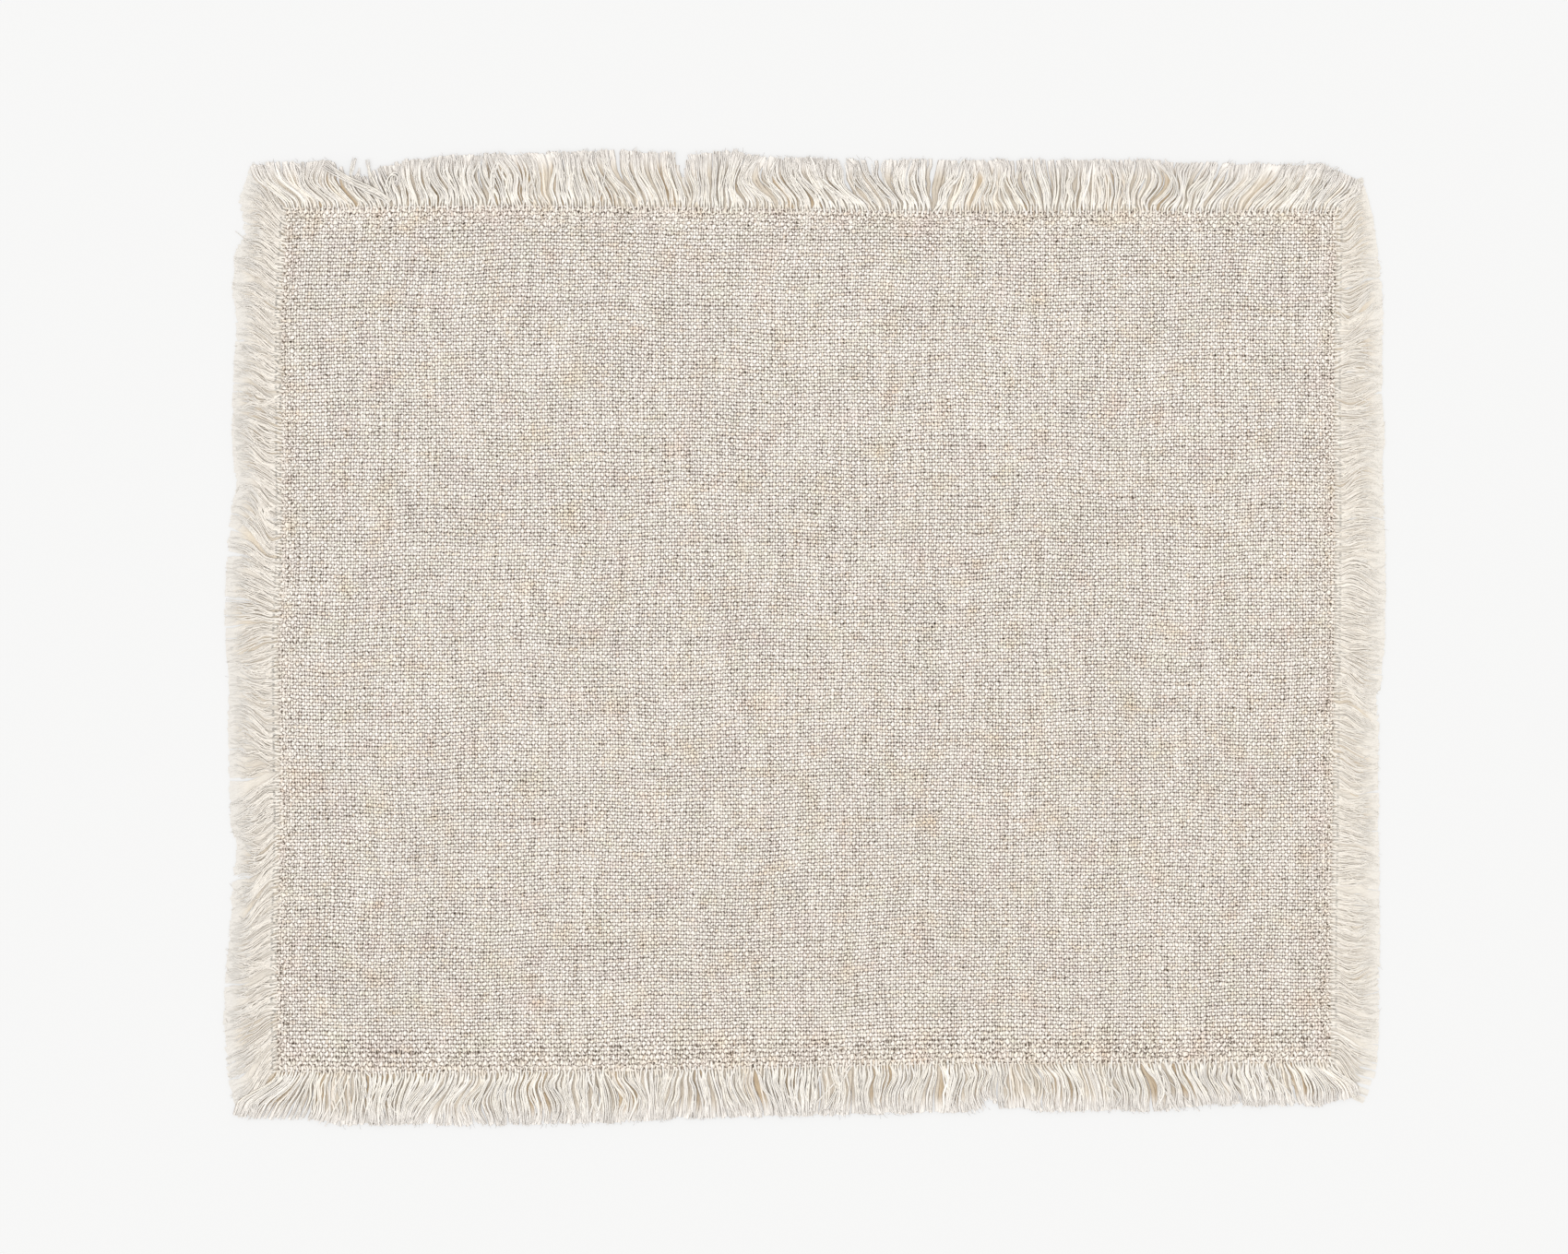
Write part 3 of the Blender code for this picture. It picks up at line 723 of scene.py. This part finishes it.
def makeFringe(sideName, plan, seed):
    side = sides[sideName]
    rng = np.random.default_rng(seed)
    start, end = side["edge"][0][0], side["edge"][-1][0]
    if side["alongX"]:
        shares = np.linspace(0, 1, field["warps"])
        passesOver = np.arange(field["warps"]) % 2 == 1
    else:
        shares = weftPlaces()
        passesOver = np.arange(field["wefts"]) % 2 == (0 if side["sign"] < 0 else 1)
    place = start + shares * (end - start)
    ends = len(place)

    # ends in locks, locks in wisps, and how each of them lies
    lock = groupUp(rng, ends, lambda r: r.choice(plan["lockEnds"][0], p=plan["lockEnds"][1]))
    locks = lock.max() + 1
    wispOfLock = groupUp(rng, locks, lambda r: r.integers(*plan["wispLocks"]))
    wisp = wispOfLock[lock]
    wisps = wisp.max() + 1
    lockPlace, wispPlace = groupMeans(place, lock), groupMeans(place, wisp)
    calm = np.clip((np.minimum(place - start, end - place) - 2.0) / 14.0, 0.0, 1.0)
    lockLean = rng.normal(0, plan["lockLean"], locks)
    lockLean += (rng.uniform(size=locks) < plan["strays"]) * rng.normal(0, plan["strayLean"], locks)
    lockLean = lockLean[lock]
    nature = {
        "lockGather": rng.uniform(*plan["lockGather"], locks)[lock],
        "wispGather": rng.uniform(*plan["wispGather"], wisps)[wisp],
        "lean": rng.normal(0, plan["wispLean"], wisps)[wisp] * calm + lockLean * calm,
        "sway": smoothAlong(rng, place, plan["swayLength"]) * plan["sway"] * calm,
        "swayTurn": smoothAlong(rng, place, 2 * plan["swayLength"]) * 1.5,
        "curve": rng.normal(0, plan["lockCurve"], locks)[lock],
        "waves": rng.uniform(0.9, 2.4, locks)[lock],
        "turn": rng.uniform(0, math.tau, locks)[lock],
        "lift": (0.6 * rng.uniform(size=wisps)[wisp] + 0.4 * rng.uniform(size=locks)[lock]),
        "length": rng.uniform(0.97, 1.0, wisps)[wisp],
        "atRoot": rng.normal(0, 0.22, ends),
    }

    def lay(whose, share, own, follow=1.0):
        # where strands of the given ends run, at shares of their reach
        n = {name: numbers[whose][:, None] for name, numbers in nature.items()}
        at, reach = place[whose][:, None], readFringe(side, place[whose], 2)[:, None]
        lean = np.tan(np.radians(readFringe(side, place[whose], 1)))[:, None]
        along = at + lean * reach * (0.4 * share + 0.6 * easeIn(share, 0.10, 0.70))
        gathered = easeIn(share, -0.01, 0.09) - 0.4 * easeIn(share, 0.15, 0.6)
        moved = (lockPlace[whose][:, None] - at) * n["lockGather"] * gathered
        moved += n["atRoot"] * easeIn(share, -0.04, 0.02) * (1 - easeIn(share, 0.05, 0.2))
        moved += (wispPlace[whose][:, None] - at) * n["wispGather"] * easeIn(share, 0.1, 1.0)
        moved += reach * share * np.tan(np.radians(n["lean"]))
        swing = easeIn(share, 0.0, 0.3)
        moved += n["curve"] * np.sin(math.tau * n["waves"] * share + n["turn"]) * swing
        along = along + n["sway"] * np.sin(math.tau * 0.8 * share + n["swayTurn"]) * swing
        along = along + follow * moved
        along += own["lean"] * reach * share + own["curve"] * np.sin(
            math.tau * own["waves"] * share + own["turn"]) * swing
        out = edgeOut(side, place[whose])[:, None] + side["sign"] * reach * share
        return along, out

    def ownNature(whose, curve):
        count = len(whose)
        stray = (rng.uniform(size=(count, 1)) < plan["strays"]) * calm[whose][:, None]
        lean = rng.normal(0, 0.015, (count, 1))
        lean += stray * np.tan(np.radians(rng.normal(0, plan["strayLean"], (count, 1))))
        return {"lean": lean, "curve": rng.normal(0, curve, (count, 1)),
                "waves": rng.uniform(0.8, 3.0, (count, 1)), "turn": rng.uniform(0, math.tau, (count, 1))}

    def piece(name, along, out, z, radii, flatness, look, tubeSides):
        x, y = onMat(side, along, out)
        return layYarns(name, np.stack([x, y, z], 2), radii, flatness, look, tubeSides)

    # one strand for each yarn end: it crosses the outermost thread and settles on the table
    whose = np.arange(ends)
    inner = plan["pitch"] * np.array([-1.05, -0.70, -0.33, 0.10])
    shares = np.array([0.07, 0.14, 0.22, 0.31, 0.41, 0.51, 0.61, 0.71, 0.81, 0.91, 1.0])
    reach = readFringe(side, place, 2)
    fromMiddle = np.abs(place - wispPlace) / groupMeans(np.abs(place - wispPlace) + 0.1, wisp) / 2
    whole = nature["length"] - plan["roundTips"] * fromMiddle ** 2
    tip = whole * rng.uniform(*plan["strandTips"], ends)
    share = np.concatenate([inner[None] / reach[:, None], tip[:, None] * shares], 1)
    along, out = lay(whose, share, ownNature(whose, plan["ownCurve"]))
    layer = np.clip(nature["lift"] + rng.normal(0, 0.12, ends), 0, 1)
    depth = share * reach[:, None]
    fromCrest = np.abs(depth / plan["pitch"] + 0.33 + rng.normal(0, 0.12, (ends, 1)))
    crossingZ = np.where(passesOver[:, None], 1.72 - 1.3 * fromCrest ** 1.5, 0.85)
    sink = 1 - plan["tipsDown"] * easeIn(share, 0.3, 1.0)
    lying = 0.36 + (0.24 + plan["lift"] * layer[:, None]) * sink
    settle = easeIn(depth, -0.3, 4.0)
    z = np.maximum(crossingZ, 0.75) * (1 - settle) + lying * settle
    radii = plan["rootRadius"] + (plan["radius"] - plan["rootRadius"]) * easeIn(share, 0.0, 0.25)
    radii = radii * rng.uniform(0.82, 1.15, (ends, 1)) * (1 + 0.09 * rng.normal(size=share.shape))
    taper = easeIn(share / tip[:, None], plan["taperFrom"], 1.0)
    radii = radii * (1 - (1 - plan["tipRadius"]) * taper)
    # the layer also sets the colour: strands lying low get the duller low colour, painted shade
    look = np.stack([rng.normal(size=ends), layer, rng.uniform(size=ends)], 1)
    thick = piece("thick", along, out, z, radii, plan["flatness"], look, 6)

    # thinner plies that have come loose from them
    count = int(ends * plan["thin"])
    whose = np.sort(rng.integers(0, ends, count))
    shares = np.array([0.02, 0.12, 0.22, 0.33, 0.45, 0.57, 0.69, 0.81, 0.92, 1.0])
    thinTip = np.clip(whole[whose] * rng.uniform(*plan["thinTips"], count), 0, 1.0)
    share = thinTip[:, None] * shares
    along, out = lay(whose, share, ownNature(whose, plan["ownCurve"] * 2.0))
    along += rng.normal(0, plan["thinAside"], (count, 1)) * easeIn(share, 0.0, 0.2)
    rise = rng.uniform(-0.1, 0.40, (count, 1))
    sink = 1 - plan["tipsDown"] * easeIn(share, 0.35, 1.0)
    z = 0.45 + (0.40 + (plan["lift"] * layer[whose][:, None] + rise) * easeIn(share, 0.0, 0.3)) * sink
    radii = plan["thinRadius"] * rng.uniform(0.75, 1.3, (count, 1)) * (1 - 0.35 * easeIn(share, 0.7, 1))
    look = np.stack([1 + rng.normal(size=count), np.ones(count), rng.uniform(size=count)], 1)
    thin = piece("thin", along, out, z, radii, 0.9, look, 5 if side["alongX"] else 4)

    # a second layer of ends underneath, close together, so that no table shows between them
    whose = np.arange(ends)
    shares = np.array([-0.02, 0.10, 0.20, 0.30, 0.41, 0.52, 0.64, 0.76, 0.88, 1.0])
    bedTip = whole * rng.uniform(*plan["bedTips"], ends)
    share = bedTip[:, None] * shares
    along, out = lay(whose, share, ownNature(whose, plan["ownCurve"]), 0.2)
    z = plan["bedHeight"] + plan["bedUneven"] * rng.uniform(size=(ends, 1))
    z = z - 0.08 * easeIn(share, 0.6, 1.0)
    radii = plan["bedRadius"] * rng.uniform(0.9, 1.1, (ends, 1))
    radii = radii * (1 - plan["bedTaper"] * easeIn(share, 0.85, 1.0))
    warmth = np.clip(0.25 + 0.8 * smoothAlong(rng, place, 5) + 0.25 * rng.normal(size=ends), 0, 1)
    # a layer of -1 gives the bed the bed colours, painted shade of the layer underneath; warmth sets how
    # tan that shade is
    look = np.stack([rng.normal(size=ends), -np.ones(ends), warmth], 1)
    bed = piece("bed", along, out, z, radii, plan["bedFlatness"], look, 5)

    # loose fibres at the tips
    count = plan["hairs"]
    whose = rng.integers(0, ends, count)
    length = rng.uniform(0.8, 2.0, (count, 1)) / reach[whose][:, None]
    share = rng.uniform(0.86, 0.95, (count, 1)) + length * np.array([0.0, 0.4, 0.75, 1.0])
    own = ownNature(whose, 0.3)
    own["lean"] = own["lean"] + rng.normal(0, 0.05, (count, 1))
    along, out = lay(whose, share, own)
    along += rng.normal(0, 0.8, (count, 1)) * np.array([0.0, 0.2, 0.55, 1.0]) ** 1.5
    z = 0.35 + 0.4 * rng.uniform(size=(count, 1)) + np.zeros((1, 4))
    radii = np.full((count, 4), 0.06) * np.array([1.0, 0.95, 0.85, 0.6])
    look = np.stack([rng.normal(size=count), np.ones(count), rng.uniform(size=count)], 1)
    hairs = piece("hairs", along, out, z, radii, 1.0, look, 3)
    loose = [layLoose(rng, bundle) for bundle in looseBundles if bundle["side"] == sideName]
    return joinPieces(side["node"] + "_yarns", [thick, thin, bed, hairs, *loose])


# colours of the yarn: the low colour, the two bed colours and the gap colour are painted shade, of strands
# lying low in the fringe, of the layer beneath them, and of a strand's sides and underside where it turns
# under, with edge setting where on its round that shade begins and ends; the root shade is painted shade
# too; cream, pale, warm and cool are the yarn's own colours
yarnLooks = {
    "long": {
        "gap": srgb(108, 85, 62), "low": srgb(248, 241, 231), "cream": srgb(255, 254, 251),
        "bed": srgb(219, 208, 192), "tanBedShade": srgb(204, 183, 154), "pale": srgb(249, 244, 238),
        "warm": srgb(255, 250, 241), "cool": srgb(252, 249, 246), "edge": (0.10, 0.69),
        "tone": 0.050, "fibre": 0.34, "groove": 0.14, "rootShade": 0.30, "calmTips": 0.0,
    },
    "short": {
        "gap": srgb(158, 138, 114), "low": srgb(240, 233, 223), "cream": srgb(253, 249, 243),
        "bed": srgb(237, 230, 219), "tanBedShade": srgb(228, 216, 198), "pale": srgb(236, 231, 223),
        "warm": srgb(255, 252, 246), "cool": srgb(253, 251, 248), "edge": (-0.35, 0.50),
        "tone": 0.02, "fibre": 0.22, "groove": 0.10, "rootShade": 0.40, "calmTips": 0.75,
    },
}
yarnLooks["left"] = {
    **yarnLooks["short"],
    "gap": srgb(122, 100, 76), "cream": srgb(255, 251, 245), "bed": srgb(234, 227, 216),
    "tanBedShade": srgb(226, 214, 196), "pale": srgb(231, 227, 221), "warm": srgb(255, 252, 247),
    "edge": (-0.22, 0.50), "rootShade": 0.55,
}


def yarnMaterial(name, settings):
    graph = Graph(name)
    whole, length, radius = graph.attribute("lengthwise")
    aside, crest, _ = graph.attribute("around")
    tone, layer, hue = graph.attribute("look")
    # two plies wind slowly round the yarn, and fibres lie along it
    turn = crest.calc("ARCTAN2", aside)
    ply = (length * yarn["plyTwist"] + turn + hue * 40.0).calc("SINE").calc("ABSOLUTE")
    groove = graph.span(ply, 0.30, 0.02)
    # the hue also sets one yarn's fibres apart from the next one's
    place = graph.place(length * yarn["fibreAlong"] + hue * 70.0, aside * radius * yarn["fibreAcross"],
                        crest * yarn["fibreRound"] + hue * 30.0)
    fibre = graph.noise(place, 1.0, 3.0, 0.6)
    # painted shade: dark where a strand turns under, on its sides and underside, duller low in the fringe
    # and on the bed beneath, cream on top
    tips = graph.span(whole, 0.58, 0.96)
    strong = 1.0 - tips * settings["calmTips"]
    low, high = settings["edge"]
    body = graph.blend(graph.span(layer, 0.0, 0.6), settings["low"], settings["cream"])
    tint = graph.blend(hue, settings["warm"], settings["cool"])
    body = graph.blend(1.0, body, tint, "MULTIPLY")
    bed = graph.blend(graph.span(hue, 0.55, 1.0), settings["bed"], settings["tanBedShade"])
    body = graph.blend(graph.span(layer, -0.2, -0.8), body, bed)
    body = graph.blend(tips * 0.95, body, settings["pale"])
    paintedSideShade = graph.span(crest + fibre * 0.5, high, low) * strong
    colour = graph.blend(paintedSideShade, body, settings["gap"])
    # painted shade: a dark band where a strand turns under the outermost thread, on the strands of higher
    # tone only
    fromRoot = (length - yarn["rootAt"]).calc("ABSOLUTE")
    root = graph.span(fromRoot, yarn["rootReach"], 0.1) * graph.span(tone, 0.3, 1.4)
    root *= settings["rootShade"]
    # the grooves between the plies are darkened as painted shade; fibre and tone are the yarn's own
    marks = fibre * settings["fibre"] - groove * settings["groove"] + tone * settings["tone"]
    colour = graph.shade(colour, marks * strong - root + 1.0)
    normal = graph.bump(fibre - groove * 0.8, yarn["bumpStrength"], yarn["bumpDepth"])
    return graph.finish(colour, yarn["roughness"], normal, yarn["sheen"])


materials = {kind: yarnMaterial("cotton_yarn_" + kind, look) for kind, look in yarnLooks.items()}

fringes = {}
for number, (sideName, side) in enumerate(sides.items()):
    fringe = makeFringe(sideName, fringePlans[sideName], 20 + number)
    fringe.data.materials.append(materials[fringePlans[sideName]["look"]])
    fringes[sideName] = fringe

# every piece goes with the one body, and stands for its solid

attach(cloth, "root")
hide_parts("cloth")
for sideName, fringe in fringes.items():
    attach(fringe, "root")
    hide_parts(sides[sideName]["node"])

print("all pieces are in place")
